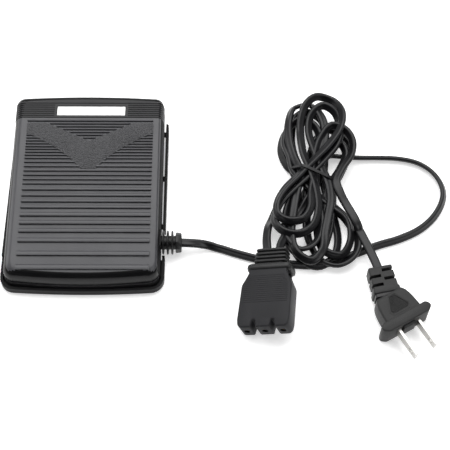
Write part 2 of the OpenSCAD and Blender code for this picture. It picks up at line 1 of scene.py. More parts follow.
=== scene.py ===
"""The looks of a sewing machine pedal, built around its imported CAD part.

Lengths in the tables below are in millimetres, in the frame of the CAD part; MM turns them into metres.
"""

import json
import math

import bmesh
import bpy
import numpy as np
from mathutils import Matrix, Vector


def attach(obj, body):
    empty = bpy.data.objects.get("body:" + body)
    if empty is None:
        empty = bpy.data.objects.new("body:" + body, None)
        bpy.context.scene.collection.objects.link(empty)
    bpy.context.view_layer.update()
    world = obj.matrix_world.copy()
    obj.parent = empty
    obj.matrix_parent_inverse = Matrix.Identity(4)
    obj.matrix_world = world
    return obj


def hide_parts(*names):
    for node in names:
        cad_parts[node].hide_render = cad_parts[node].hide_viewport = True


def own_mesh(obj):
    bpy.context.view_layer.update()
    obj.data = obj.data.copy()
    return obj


MM = 0.001

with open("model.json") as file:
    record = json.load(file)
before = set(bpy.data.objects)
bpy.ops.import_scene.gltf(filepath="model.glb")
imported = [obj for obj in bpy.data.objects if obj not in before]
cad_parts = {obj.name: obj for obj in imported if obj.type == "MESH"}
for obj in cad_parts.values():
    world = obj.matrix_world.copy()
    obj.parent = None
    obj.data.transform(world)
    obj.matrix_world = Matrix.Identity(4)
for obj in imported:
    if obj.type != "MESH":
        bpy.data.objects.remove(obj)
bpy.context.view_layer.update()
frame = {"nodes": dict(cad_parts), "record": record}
nodes = frame["nodes"]


# ---------- helpers: meshes ----------


SHARP_ANGLE = math.radians(38)


def new_object(name, points, faces):
    """An object with this mesh, points in mm, smooth but for its sharp edges."""
    data = bpy.data.meshes.new(name)
    data.from_pydata([tuple(float(c) * MM for c in p) for p in points], [], faces)
    data.validate()
    data.shade_smooth()
    data.set_sharp_from_angle(angle=SHARP_ANGLE)
    obj = bpy.data.objects.new(name, data)
    bpy.context.scene.collection.objects.link(obj)
    return obj


def mesh_object(name, points, faces, body):
    """A new object that rides on a body of the CAD part."""
    obj = new_object(name, points, faces)
    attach(obj, body)
    return obj


class Shape:
    """Closed shells collected into one mesh, points in mm; a face's mark is the index of its material."""

    def __init__(self):
        self.points, self.faces, self.marks = [], [], []

    def add(self, points, faces, mark=0):
        base = len(self.points)
        self.points += [tuple(float(c) for c in p) for p in points]
        self.faces += [tuple(base + i for i in f) for f in faces]
        self.marks += [mark] * len(faces)

    def loft(self, rings, mark=0):
        self.add([p for ring in rings for p in ring], capped(len(rings), len(rings[0])), mark)

    def moved(self, turn):
        self.points = [tuple(turn @ Vector(p)) for p in self.points]
        return self

    def piece(self, name, body, *mats):
        obj = mesh_object(name, self.points, self.faces, body)
        for mat in mats:
            obj.data.materials.append(mat)
        for face, mark in zip(obj.data.polygons, self.marks):
            face.material_index = mark
        return obj


def carve(solid, cutters):
    """The solid with the cutters' space taken away, both given as Shapes."""
    obj = new_object("carved", solid.points, solid.faces)
    tool = new_object("tool", cutters.points, cutters.faces)
    mod = obj.modifiers.new("cut", "BOOLEAN")
    mod.operation = "DIFFERENCE"
    mod.solver = "EXACT"
    mod.use_self = True
    mod.object = tool
    done = obj.evaluated_get(bpy.context.evaluated_depsgraph_get()).to_mesh()
    out = Shape()
    out.add([v.co / MM for v in done.vertices], [tuple(f.vertices) for f in done.polygons])
    for o in (obj, tool):
        data = o.data
        bpy.data.objects.remove(o)
        bpy.data.meshes.remove(data)
    return out


def inset(outline, d):
    """A counter-clockwise outline moved inwards by d."""
    p = np.array(outline, float)
    a, b = p - np.roll(p, 1, 0), np.roll(p, -1, 0) - p
    a, b = a / np.linalg.norm(a, axis=1)[:, None], b / np.linalg.norm(b, axis=1)[:, None]
    na, nb = np.column_stack([-a[:, 1], a[:, 0]]), np.column_stack([-b[:, 1], b[:, 0]])
    return p + d * (na + nb) / (1 + (na * nb).sum(axis=1))[:, None].clip(0.4)


def rounded(outline, radius, steps=3):
    """An outline with its corners rounded off."""
    p = [np.array(c, float) for c in outline]
    out = []
    for i, c in enumerate(p):
        ends = []
        for other in (p[i - 1], p[(i + 1) % len(p)]):
            gap = np.linalg.norm(other - c)
            ends.append(c + (other - c) / gap * min(radius, 0.45 * gap))
        for t in np.linspace(0, 1, steps + 1):
            out.append(tuple((1 - t) ** 2 * ends[0] + 2 * t * (1 - t) * c + t**2 * ends[1]))
    return out


def slab(outline, low, high, edge, steps=3, low_edge=None):
    """Rings of an upright prism with its top and bottom edges rounded."""
    rings = []
    under = edge if low_edge is None else low_edge
    turns = [math.pi / 2 * k / steps for k in range(steps + 1)]
    for a in turns:
        z = low + under * (1 - math.cos(a))
        rings.append([(x, y, z) for x, y in inset(outline, under * (1 - math.sin(a)))])
    for a in turns[::-1]:
        z = high - edge * (1 - math.cos(a))
        rings.append([(x, y, z) for x, y in inset(outline, edge * (1 - math.sin(a)))])
    return rings


def oblong(half_a, half_b, radius=1.0, steps=4):
    """A rounded rectangle about the origin."""
    corners = [(-half_a, -half_b), (half_a, -half_b), (half_a, half_b), (-half_a, half_b)]
    return rounded(corners, radius, steps)


def stacked(rows, radius):
    """Rings along y of rounded rectangles, one for each (y, half width, half height) row."""
    return [[(-x, y, z) for x, z in oblong(w, h, min(radius, 0.9 * min(w, h)))] for y, w, h in rows]


def bar(start, end, section):
    """Rings of a straight ridge along x, its section given as (y, z) pairs."""
    return [[(x, start[1] + y, start[2] + z) for y, z in section] for x in (start[0], end[0])]


def sweep(path, radius, count=10):
    """Rings of a round wire along a path."""
    line = np.array(path, float)
    along = np.gradient(line, axis=0)
    along /= np.linalg.norm(along, axis=1)[:, None]
    rings = []
    for p, t in zip(line, along):
        side = np.cross((0, 0, 1) if abs(t[2]) < 0.9 else (1, 0, 0), t)
        side /= np.linalg.norm(side)
        up = np.cross(t, side)
        rings.append([p + radius * (math.cos(a) * side + math.sin(a) * up)
                      for a in np.linspace(0, 2 * math.pi, count, endpoint=False)])
    return rings


def ring_faces(rings, count):
    """Quads between neighbouring rings of count points each."""
    faces = []
    for i in range(rings - 1):
        for k in range(count):
            a, b = i * count + k, i * count + (k + 1) % count
            faces.append((a, b, b + count, a + count))
    return faces


def capped(rings, count):
    """The faces of a loft: its sides and its two end caps."""
    return (
        ring_faces(rings, count)
        + [tuple(range(count - 1, -1, -1))]
        + [tuple(range((rings - 1) * count, rings * count))]
    )


def looped(rings, count):
    """The faces of a closed band whose last ring is joined to its first."""
    last = (rings - 1) * count
    return ring_faces(rings, count) + [
        (last + k, last + (k + 1) % count, (k + 1) % count, k) for k in range(count)]


# ---------- helpers: materials ----------


def shader(name, colour, roughness, metallic=0.0, specular=0.5):
    """A material with a Principled shader, and its nodes."""
    mat = bpy.data.materials.new(name)
    mat.use_nodes = True
    tree = mat.node_tree
    bsdf = tree.nodes["Principled BSDF"]
    bsdf.inputs["Base Color"].default_value = (*colour, 1)
    bsdf.inputs["Roughness"].default_value = roughness
    bsdf.inputs["Metallic"].default_value = metallic
    bsdf.inputs["Specular IOR Level"].default_value = specular
    return mat, tree, bsdf


def wear(tree, bsdf, colour, spread, scale, rough, rough_spread):
    """Slow variation of colour and roughness over the surface."""
    coord = tree.nodes.new("ShaderNodeTexCoord")
    noise = tree.nodes.new("ShaderNodeTexNoise")
    noise.inputs["Scale"].default_value = scale
    noise.inputs["Detail"].default_value = 6
    tree.links.new(coord.outputs["Object"], noise.inputs["Vector"])
    ramp = tree.nodes.new("ShaderNodeMapRange")
    ramp.inputs["From Min"].default_value = 0.3
    ramp.inputs["From Max"].default_value = 0.7
    ramp.inputs["To Min"].default_value = rough - rough_spread
    ramp.inputs["To Max"].default_value = rough + rough_spread
    tree.links.new(noise.outputs["Fac"], ramp.inputs["Value"])
    tree.links.new(ramp.outputs["Result"], bsdf.inputs["Roughness"])
    mix = tree.nodes.new("ShaderNodeMix")
    mix.data_type = "RGBA"
    mix.inputs["A"].default_value = (*[c * (1 - spread) for c in colour], 1)
    mix.inputs["B"].default_value = (*[c * (1 + spread) for c in colour], 1)
    tree.links.new(noise.outputs["Fac"], mix.inputs["Factor"])
    tree.links.new(mix.outputs["Result"], bsdf.inputs["Base Color"])
    return coord


def grain(tree, bsdf, coord, scale, strength, distance):
    """A fine bump over the surface."""
    noise = tree.nodes.new("ShaderNodeTexNoise")
    noise.inputs["Scale"].default_value = scale
    noise.inputs["Detail"].default_value = 4
    tree.links.new(coord.outputs["Object"], noise.inputs["Vector"])
    bump = tree.nodes.new("ShaderNodeBump")
    bump.inputs["Strength"].default_value = strength
    bump.inputs["Distance"].default_value = distance
    tree.links.new(noise.outputs["Fac"], bump.inputs["Height"])
    tree.links.new(bump.outputs["Normal"], bsdf.inputs["Normal"])


def moulded(name, colour, roughness, spread=0.12, grain_scale=900, bump=0.15, specular=0.5,
            grain_depth=0.0002):
    """A moulded plastic: its colour varies by spread, and grain_depth is in metres."""
    mat, tree, bsdf = shader(name, colour, roughness, specular=specular)
    coord = wear(tree, bsdf, colour, spread, 60, roughness, 0.05)
    grain(tree, bsdf, coord, grain_scale, bump, grain_depth)
    return mat


def metal(name, colour, roughness):
    """A plain metal with a faint grain."""
    mat, tree, bsdf = shader(name, colour, roughness, metallic=1)
    coord = wear(tree, bsdf, colour, 0.08, 90, roughness, 0.06)
    grain(tree, bsdf, coord, 1500, 0.1, 0.0001)
    return mat


def paint(obj, mat):
    """Gives an object one material."""
    obj.data.materials.clear()
    obj.data.materials.append(mat)
    return obj


PVC = moulded("pvc_black", (0.006, 0.006, 0.007), 0.34, specular=0.33)


# ---------- camera ----------


CAMERA_PLACE = (0.0791, -0.3342, 0.5622)
CAMERA_HEADING, CAMERA_TIP, CAMERA_ROLL = -0.33, 29.67, 0.45
CAMERA_LENS = 88


def add_camera():
    """A camera at CAMERA_PLACE, turned by its heading, tip and roll in degrees."""
    data = bpy.data.cameras.new("camera")
    data.lens = CAMERA_LENS
    data.sensor_width = 36
    data.clip_start = 0.01
    cam = bpy.data.objects.new("camera", data)
    bpy.context.scene.collection.objects.link(cam)
    cam.matrix_world = (
        Matrix.Translation(CAMERA_PLACE)
        @ Matrix.Rotation(math.radians(CAMERA_HEADING), 4, "Z")
        @ Matrix.Rotation(math.radians(CAMERA_TIP), 4, "X")
        @ Matrix.Rotation(math.radians(CAMERA_ROLL), 4, "Z")
    )
    bpy.context.scene.camera = cam


add_camera()


# ---------- cords ----------

FLEX_W, FLEX_T = 5.2, 2.8
CORE_R = FLEX_T / 2
CORE_X = (FLEX_W - FLEX_T) / 2
GROOVE = 0.22
# Distance between a cord's rings
STEP = 2.0
# In place of a height: the cord finds its own there
FREE = float("nan")
# Where the bundle is tied
WAIST = np.array([133.5, 15])
# Steepest rise or fall of a strand that climbs over another
CLIMB = 0.38

# From the strain relief round the big arc and into the bundle
PEDAL_ROUTE = [
    (56, -30, 7.5), (61, -30, 7.1), (66, -29.6, 5.6), (72, -29.6, 3.4), (79, -31.4, 1.8),
    (86, -33.8, 1.5), (98, -37.4, 1.5), (109, -40, 1.5), (119, -41.2, 1.5), (131, -41.8, 1.5),
    (144, -39.4, 1.5), (157, -34, 1.5), (170, -28.6, 1.5), (182, -24.6, 1.5), (194, -18.6, 1.5),
    (203, -10.6, 1.5), (209, -1, 1.5), (211, 7, 1.5), (209.6, 15, 1.5), (205, 22.6, 1.5),
    (197, 28.4, 1.5), (186, 31.2, 1.5), (174, 31.8, 1.5), (162, 31.8, 1.8), (151, 32.4, 2.6),
]
LEFT_LEAD = [(109.5, -9, FREE), (106, -19, 6.3), (104.9, -28, 8), (105.2, -36.9, 9.8)]
RIGHT_LEAD = [(111.9, -37.7, 12.2), (113, -32.4, 11), (115.8, -26.4, 9.4)]
MAINS_ROUTE = [
    (156.2, -15, FREE), (158.8, -21, 6.5), (161, -26.6, 6.8), (163, -31.6, 6.9), (165, -37, 6.9),
    (166.7, -42, 7.2), (168.1, -47.3, 7.6),
]

# Loops of the bundle in the order in which they were laid: level, turn (0 lies flat, 1 leans with its
# bends, more than 1 leans everywhere), points
PEDAL_LOOPS = [
    (1, 0.8, [(143, 32), (136.5, 27), (133, 16), (126, 2), (120.5, -13), (120, -28), (125, -39),
              (134.5, -43), (143, -37.5), (146.5, -26), (145, -10), (140, 12)]),
    (2, 0.8, [(141, 28), (141, 42), (135.5, 54), (126, 57.5), (118, 50), (115, 37), (118.5, 26),
              (126, 17.5)]),
    (3, 0.8, [(131, 8), (142, -3), (152, -12), (158, -25), (155, -37), (145, -43), (134.5, -38),
              (129.5, -25), (129, -7), (130, 15)]),
    (4, 0.8, [(132, 30), (136, 42), (144, 50.5), (152, 46.5), (156, 38), (153.5, 27), (145.7, 10)]),
    (5, 0.8, [(143.5, -7), (141, -22), (136, -35), (127, -39.5), (118.5, -33), (115.5, -22), (118.5, -6),
              (126, 17)]),
    (6, 0.8, [(123, 32), (121.5, 46), (124.5, 58.5), (132, 63.5), (139.5, 57.5), (142, 45), (138.5, 31),
              (130, 19.5), (121, 9), (114.5, 1)]),
]
MAINS_LOOPS = [
    (7, 0.8, [(119.8, -17), (127.5, -4), (134.5, 8), (137.5, 18), (139, 31), (144.5, 40), (151, 38.5),
              (153.5, 31.5), (150.5, 22.5), (143, 9)]),
    (8, 0.8, [(138.5, -6), (134.5, -22), (137.5, -35), (147, -38), (153.5, -27), (152.5, -14.5),
              (145, -6.5), (136, 1), (128, 10), (121.5, 19.5)]),
    (9, 0.8, [(120, 27.5), (117, 39), (120, 50), (128, 55.5), (135.5, 51), (138.5, 40), (137, 28),
              (134.5, 14)]),
    (10, 0.8, [(135, -3), (136.5, -18), (132.5, -31), (124, -35), (117.5, -28), (116, -16), (120, 0),
               (129.5, 16.5)]),
    (11, 0.2, [(137.5, 29), (141.5, 43), (139.5, 57.5)]),
    (11, 0.8, [(132, 67), (123.5, 64.5), (119.5, 52), (119.5, 38.5), (122, 27), (126, 16)]),
    (12, 0.8, [(123, 2), (120.5, -12), (119, -26), (122, -38), (130, -43)]),
    (12, 0.3, [(136.8, -36), (138.5, -25), (141, -13), (142.8, -3), (142, 8), (139, 18)]),
    (13, 0.8, [(134.5, 31), (131.5, 45), (133.5, 57), (140.5, 64), (148, 60), (151, 49.5), (148.5, 37),
               (141.5, 26.5), (132.5, 15.5), (121.5, 4.5)]),
    (14, 0.8, [(112.5, -6.5), (109.5, -16), (113.5, -24), (123, -26.5), (131.5, -21), (135.2, -9.5),
               (134.5, 3.5), (131.5, 15.5)]),
    (16, 0.8, [(127.5, 28), (126.4, 42), (127.2, 54), (131, 65), (138.5, 71), (147.5, 68.5), (152.3, 58),
               (150.5, 46.5), (144, 35.5), (134.5, 24), (124.5, 12.5)]),
    (17, 0.8, [(115.5, 2), (111, -7.5), (111.6, -15), (118, -19), (126, -17.5), (130.5, -10.5)]),
    (15, 0.8, [(131.5, 1)]),
    (12.5, 0.8, [(133.5, 13), (135, 27), (138.5, 39.5)]),
    (13.5, 0.8, [(145.5, 49), (153.5, 46), (157.8, 38), (156.3, 28.5), (150, 18)]),
    (13.5, 0.15, [(146.5, 9.5), (148.5, 1.5), (152.3, -6.5)]),
]


def spline(points, step):
    """Points every step along a smooth curve through the given ones, all their columns carried along."""
    p = np.array(points, float)
    ends = np.vstack([2 * p[0] - p[1], p, 2 * p[-1] - p[-2]])
    fine = []
    for i in range(len(p) - 1):
        p0, p1, p2, p3 = ends[i : i + 4]
        gaps = [max(np.linalg.norm((b - a)[:2]), 1e-6) ** 0.5 for a, b in ((p0, p1), (p1, p2), (p2, p3))]
        m1 = (p1 - p0) / gaps[0] - (p2 - p0) / (gaps[0] + gaps[1]) + (p2 - p1) / gaps[1]
        m2 = (p2 - p1) / gaps[1] - (p3 - p1) / (gaps[1] + gaps[2]) + (p3 - p2) / gaps[2]
        m1, m2 = m1 * gaps[1], m2 * gaps[1]
        for t in np.linspace(0, 1, 24, endpoint=False):
            fine.append(
                (2 * t**3 - 3 * t**2 + 1) * p1 + (t**3 - 2 * t**2 + t) * m1
                + (3 * t**2 - 2 * t**3) * p2 + (t**3 - t**2) * m2
            )
    fine.append(p[-1])
    fine = np.array(fine)
    run = np.concatenate([[0], np.cumsum(np.linalg.norm(np.diff(fine[:, :2], axis=0), axis=1))])
    want = np.linspace(0, run[-1], max(int(round(run[-1] / step)), 2) + 1)
    return np.column_stack([np.interp(want, run, fine[:, c]) for c in range(fine.shape[1])])


def soften(values, reach):
    """Gaussian mean along a cord, its ends kept."""
    span = int(3 * reach) + 1
    kernel = np.exp(-0.5 * (np.arange(-span, span + 1) / reach) ** 2)
    padded = np.concatenate([np.full(span, values[0]), values, np.full(span, values[-1])])
    return np.convolve(padded, kernel / kernel.sum(), "valid")


def draped(need, slope):
    """The lowest line above need that nowhere falls or rises faster than slope."""
    out = need.copy()
    for i in range(1, len(out)):
        out[i] = max(out[i], out[i - 1] - slope * STEP)
    for i in range(len(out) - 2, -1, -1):
        out[i] = max(out[i], out[i + 1] - slope * STEP)
    return out


class Flex:
    """One flat lead: its line in plan, the level each part lies at, its roll and its height."""

    def __init__(self, points):
        rows = spline([(x, y, 0 if math.isnan(z) else z, 0 if math.isnan(z) else 1, lev, turn)
                       for x, y, z, lev, turn in points], STEP)
        self.plan, self.guide, self.held = rows[:, :2], rows[:, 2], rows[:, 3]
        self.level = np.array(rows[:, 4])
        step = np.gradient(self.plan, axis=0)
        heading = np.unwrap(np.arctan2(step[:, 1], step[:, 0]))
        bend = soften(np.gradient(heading) / np.maximum(np.linalg.norm(step, axis=1), 1e-6), 3)
        near = np.exp(-((np.linalg.norm(self.plan - WAIST, axis=1) / 16) ** 4))
        lean = np.maximum(0.15 + 0.75 * np.tanh(np.abs(bend) * 22), 0.75 * near)
        lean = np.maximum(lean * np.clip(rows[:, 5], 0, 1), rows[:, 5] - 1)
        self.roll = soften(math.radians(80) * lean, 3)
        self.half_h = CORE_X * np.abs(np.sin(self.roll)) + CORE_R
        self.half_w = CORE_X * np.abs(np.cos(self.roll)) + CORE_R
        self.z = np.maximum(self.half_h, self.guide * (self.held > 0.99))


def waypoints(parts):
    """Joins (level, turn, points) parts into rows of x, y, z, level, turn."""
    return [(p[0], p[1], p[2] if len(p) > 2 else FREE, level, turn)
            for level, turn, points in parts for p in points]


def lay_down(cords, passes=8):
    """Gives every cord its height: on the floor, or on what was laid there before."""
    for _ in range(passes):
        plan = np.vstack([c.plan for c in cords])
        z = np.concatenate([c.z for c in cords])
        h = np.concatenate([c.half_h for c in cords])
        w = np.concatenate([c.half_w for c in cords])
        level = np.concatenate([c.level for c in cords])
        for c in cords:
            gap = np.linalg.norm(c.plan[:, None] - plan[None], axis=2)
            reach = c.half_w[:, None] + w[None]
            over = (level[None] < c.level[:, None] - 0.35) & (gap < reach)
            lift = z[None] + (c.half_h[:, None] + h[None]) * np.sqrt(np.clip(1 - (gap / reach) ** 2, 0, 1))
            need = np.maximum(c.half_h, np.where(over, lift, 0).max(axis=1))
            need = np.maximum(need, np.roll(need, 1))
            need = np.minimum(draped(need, CLIMB), np.maximum(3 + 0.66 * c.level, c.half_h))
            free = np.maximum(soften(need, 1.6), c.half_h)
            free = np.maximum(free, c.guide * (c.held > 0.01))
            c.z = np.where(c.held > 0.99, np.maximum(c.guide, c.half_h), free)
            c.z = np.where(c.held > 0.99, c.z, soften(c.z, 1.2))


def flex_section(count=20):
    """Outline of the twin flex, two round cores with a shallow groove between them."""
    points = []
    for k in range(count):
        a = 2 * math.pi * k / count
        x = FLEX_W / 2 * math.cos(a)
        inner = min(abs(x) / CORE_X, 1)
        edge = math.sqrt(max(CORE_R**2 - max(abs(x) - CORE_X, 0) ** 2, 0))
        on_end = abs(math.sin(a)) < 1e-9
        points.append((x, 0 if on_end else math.copysign(edge - GROOVE * (1 - inner**2) ** 2, math.sin(a))))
    return points


def flex_mesh(name, cord):
    """The piece of a lead, and its line in mm."""
    line = np.column_stack([cord.plan, cord.z])
    along = np.gradient(line, axis=0)
    along /= np.linalg.norm(along, axis=1)[:, None]
    section = flex_section()
    points = []
    for p, t, roll in zip(line, along, cord.roll):
        side = np.cross((0, 0, 1), t)
        side /= np.linalg.norm(side)
        up = np.cross(t, side)
        wide = math.cos(roll) * side + math.sin(roll) * up
        thin = -math.sin(roll) * side + math.cos(roll) * up
        points += [p + wide * x + thin * y for x, y in section]
    obj = mesh_object(name, points, capped(len(line), len(section)), "base")
    return paint(obj, PVC), line


pedal_cord = Flex(waypoints(
    [(0, 0.3, PEDAL_ROUTE[:3]), (0, 1.75, PEDAL_ROUTE[3:])]
    + PEDAL_LOOPS + [(6, 0.9, LEFT_LEAD)]))
mains_cord = Flex(waypoints(
    [(6.5, 0.9, RIGHT_LEAD)] + MAINS_LOOPS + [(14, 0.12, MAINS_ROUTE)]))
lay_down([pedal_cord, mains_cord])
pedal_flex, pedal_line = flex_mesh("pedal_flex", pedal_cord)
mains_flex, mains_line = flex_mesh("mains_flex", mains_cord)
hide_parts("pedal_lead", "lead_bundle", "connector_leads")
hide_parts("mains_lead")


# ---------- tie round the bundle ----------

TIE_ALONG = np.array([0.94, -0.342])
TIE_ACROSS = np.array([0.342, 0.94])
TIE_T = 0.9
TIE_W = 1.7
# How far from the waist's middle the strands inside the tie may lie, along it and across it
TIE_REACH = 12.5
TIE_NEAR = 1.6
TIE_WIRE_R = 0.55


def hull_of(points):
    """Convex outline, counter-clockwise, of points in a plane."""
    pts = sorted(map(tuple, points))
    halves = []
    for order in (pts, pts[::-1]):
        chain = []
        for p in order:
            while len(chain) > 1 and ((chain[-1][0] - chain[-2][0]) * (p[1] - chain[-2][1])
                                      <= (chain[-1][1] - chain[-2][1]) * (p[0] - chain[-2][0])):
                chain.pop()
            chain.append(p)
        halves += chain[:-1]
    return halves


def tie_outline():
    """Outline round the strands at the waist, in the upright plane of the tie."""
    section = []
    around = np.linspace(0, 2 * math.pi, 12)
    for cord in (pedal_cord, mains_cord):
        near = np.abs((cord.plan - WAIST) @ TIE_ACROSS) < TIE_NEAR
        for p, z, w, h in zip(cord.plan[near], cord.z[near], cord.half_w[near], cord.half_h[near]):
            u = float((p - WAIST) @ TIE_ALONG)
            if abs(u) < TIE_REACH:
                section += [(u + w * math.cos(a), z + h * math.sin(a)) for a in around]
    return rounded(hull_of(section), 1.2, 2)


def make_tie():
    """A band round the waist and the two twisted ends of its wire."""
    outline = tie_outline()
    outer = inset(outline, -TIE_T)
    outer[:, 1] = outer[:, 1].clip(0.2)
    back, front = -TIE_W / 2, TIE_W / 2
    rings = []
    for ring, across in ((outline, back), (outer, back), (outer, front), (outline, front)):
        rings.append([(*(WAIST + TIE_ALONG * u + TIE_ACROSS * across), z) for u, z in ring])
    shape = Shape()
    shape.add([p for ring in rings for p in ring], looped(len(rings), len(outer)))
    far = max(outer, key=lambda p: p[0] + 0.4 * p[1])
    root = WAIST + TIE_ALONG * (far[0] - 0.6)
    for lean in (-1, 1):
        path = []
        for t in np.linspace(0, 1, 14):
            twist = 0.75 * math.sin(5 * t + lean * 1.5)
            x = root[0] + 2.6 * t
            y = root[1] - 3.2 * t + twist * 0.5 + lean * 0.5 * t
            path.append((x, y, max(far[1] + 0.4 - 1.5 * t + 0.5 * twist, 0.6)))
        shape.loft(sweep(path, TIE_WIRE_R, 8))
    tie = shape.piece("wire_tie", "base", PVC)
    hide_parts("bundle_tie")


make_tie()


# ---------- materials ----------

PAD = moulded("abs_pad", (0.042, 0.042, 0.047), 0.4, 0.15, 1100, 0.25)
STIPPLE = moulded("abs_stipple", (0.056, 0.056, 0.06), 0.42, 0.2, 1050, 1.0, grain_depth=0.0015)
# Partly a glossier finish, partly painted shade: a near-black copy of the pad's plastic for the nose band
# and the lower bevels
GLOSS_SHADE = moulded("abs_gloss_painted_shade", (0.006, 0.006, 0.0065), 0.22, 0.15, 700, 0.06, specular=0.2)
# Painted light: a copy of the pad's plastic, much lighter than the nose band above it, for the lower front
# face that the bright floor in front lights
FRONT_LIT = moulded("abs_front_painted_light", (0.032, 0.032, 0.034), 0.4, 0.12, 900, 0.12, specular=0.2)
# Painted shade: a darker copy of the pad's plastic with almost no reflection, for the cover's walls that
# face sideways
SIDE_SHADE = moulded("abs_side_painted_shade", (0.011, 0.011, 0.0115), 0.62, 0.15, 900, 0.2, specular=0.04)
# Painted shade: a darker copy of the pad's plastic for the toe band and its ridges, which catch less sheen
# than the tread
BAND_SHADE = moulded("abs_band_painted_shade", (0.014, 0.014, 0.0155), 0.34, 0.15, 900, 0.12, specular=0.26)
BASE_ABS = moulded("abs_base", (0.006, 0.006, 0.0065), 0.42, 0.15, 1000, 0.15, specular=0.09)
RELIEF_PVC = moulded("pvc_relief", (0.012, 0.012, 0.0125), 0.42, 0.15, 900, 0.2, specular=0.35)
CONNECTOR = moulded("connector_grey", (0.022, 0.022, 0.024), 0.5, 0.12, 1200, 0.3, specular=0.14)
PLUG = moulded("plug_grey", (0.03, 0.03, 0.03), 0.5, 0.12, 1200, 0.35, specular=0.2)
NICKEL = metal("nickel", (0.5, 0.49, 0.47), 0.3)

LOOKS = {
    "black_abs": PAD, "base_abs": BASE_ABS, "black_pvc": RELIEF_PVC, "connector_plastic": CONNECTOR,
    "plate_white": moulded("plate_white", (0.9, 0.9, 0.9), 0.45, 0.01, 900, 0.05),
    "rubber": moulded("rubber", (0.02, 0.02, 0.02), 0.75, 0.2, 700, 0.5, specular=0.3),
    "steel": metal("steel", (0.56, 0.55, 0.53), 0.32),
    "spring_steel": metal("spring_steel", (0.48, 0.47, 0.46), 0.28),
    "nickel": NICKEL,
    "brass": metal("brass", (0.72, 0.52, 0.22), 0.3),
    "bronze": metal("bronze", (0.62, 0.38, 0.2), 0.34),
    "aluminium": metal("aluminium", (0.78, 0.78, 0.79), 0.38),
    "board_green": moulded("board_green", (0.02, 0.12, 0.045), 0.4, 0.2, 400, 0.1),
    "ivory_plastic": moulded("ivory_plastic", (0.62, 0.58, 0.46), 0.45, 0.05),
    "ceramic_white": moulded("ceramic_white", (0.75, 0.74, 0.7), 0.35, 0.05),
    "carbon": moulded("carbon", (0.015, 0.015, 0.015), 0.6, 0.3),
    "copper": metal("copper", (0.8, 0.36, 0.2), 0.3),
    "amber_plastic": moulded("amber_plastic", (0.5, 0.2, 0.03), 0.35, 0.08),
    "resistor_tan": moulded("resistor_tan", (0.5, 0.38, 0.24), 0.45, 0.08),
    "wire_red": moulded("wire_red", (0.42, 0.02, 0.02), 0.4, 0.08),
}
for row in frame["record"]["subparts"]:
    paint(nodes[row["node"]], LOOKS[row["material_slot"]])


def soften_edges(node, width):
    """A small bevel on the edges of a CAD node."""
    mod = nodes[node].modifiers.new("edges", "BEVEL")
    mod.width = width * MM
    mod.segments = 2
    mod.limit_method = "ANGLE"
    mod.angle_limit = math.radians(50)
    mod.use_clamp_overlap = True


# ---------- treadle cover ----------

HINGE_Y, HINGE_Z = -49.0, 8.0
TILT = math.radians(6)
HALF_W = 44.3
COVER_FRONT, COVER_REAR = -56.2, 60.5
TREAD_Z = 17.0
SKIRT_FRONT_Z, SKIRT_REAR_Z = 4.0, 2.2
WALL = 2.2
# First y, last y and lower edge of the skirt's notch over the strain relief
NOTCH = (-35.0, -25.0, 12.8)
# The toe band starts at BAND_Y and slopes down from there
BAND_Y = 45.0
BAND_DROP = math.tan(math.radians(7))
# Middle of the tread in x
PAD_X = 1.2
# Width, depth and middle y of the nameplate, and its pocket's gap and depth
PLATE = (40.4, 6.4, 50.2)
POCKET_GAP = 0.4
POCKET_DEPTH = 0.7
# Materials of the cover, as its faces are marked: the pad's plastic, its stipple, and copies of that
# plastic with painted light and painted shade, given by where a face lies and which way it faces; then the
# limits between them
ON_PAD, ON_GLOSS_SHADE, ON_STIPPLE, ON_FRONT_LIT, ON_BAND_SHADE, ON_SIDE_SHADE = range(6)
NOSE_Y = -51.5
FRONT_LIT_TOP = 9
BEVEL_BOTTOM = 15.6
# Height, then how far the left, right, front and rear of the outline stand in at that height
COVER_ROWS = [
    (0, 0, 0, -2.3, 0), (6, 0, 0.1, -2.1, -0.6), (10, 0.1, 0.3, -1.5, -1.1), (12.6, 0.5, 0.6, -0.9, -1.2),
    (14.6, 1.6, 1.1, -0.1, -0.8), (16, 3, 1.8, 1.1, 0), (16.8, 4.3, 2.4, 2.3, 1), (17, 5.4, 3, 3.2, 2),
]
# The same for the inside of the wall, from the ceiling down
INNER_ROWS = [
    (TREAD_Z - WALL, 4.5, 2.5, 3, 1.5), (13.5, 1.6, 1.4, 1.2, 0.4), (9, 0.3, 0.4, 0.2, 0), (0, 0, 0, 0, 0),
]


def bowed(left, right, front, rear, bow_f, bow_r, r_f, r_r, extra=()):
    """Outline with straight sides, bowed front and rear edges, round corners, and extra points on its
    sides. bow_f and r_f are the front's bow and corner radius, bow_r and r_r the rear's."""
    half, mid = (right - left) / 2, (right + left) / 2
    arc = np.linspace(0, math.pi / 2, 9)
    points = []

    def edge(inner, y, bow, way):
        for x in np.linspace(-inner, inner, 15)[1:-1][::way]:
            points.append((mid + x, y + bow * (x / half) ** 2))

    def corner(x, y, r, start, way):
        for a in arc:
            points.append((mid + x + r * math.cos(start + way * a), y + r * math.sin(start + way * a)))

    in_f, in_r = half - r_f, half - r_r
    yf = front + bow_f * (in_f / half) ** 2 + r_f
    yr = rear - bow_r * (in_r / half) ** 2 - r_r
    edge(in_f, front, bow_f, 1)
    corner(in_f, yf, r_f, -math.pi / 2, 1)
    points += [(mid + half, y) for y in extra]
    corner(in_r, yr, r_r, 0, 1)
    edge(in_r, rear, -bow_r, -1)
    corner(-in_r, yr, r_r, math.pi / 2, 1)
    points += [(mid - half, y) for y in extra[::-1]]
    corner(-in_f, yf, r_f, math.pi, 1)
    return points


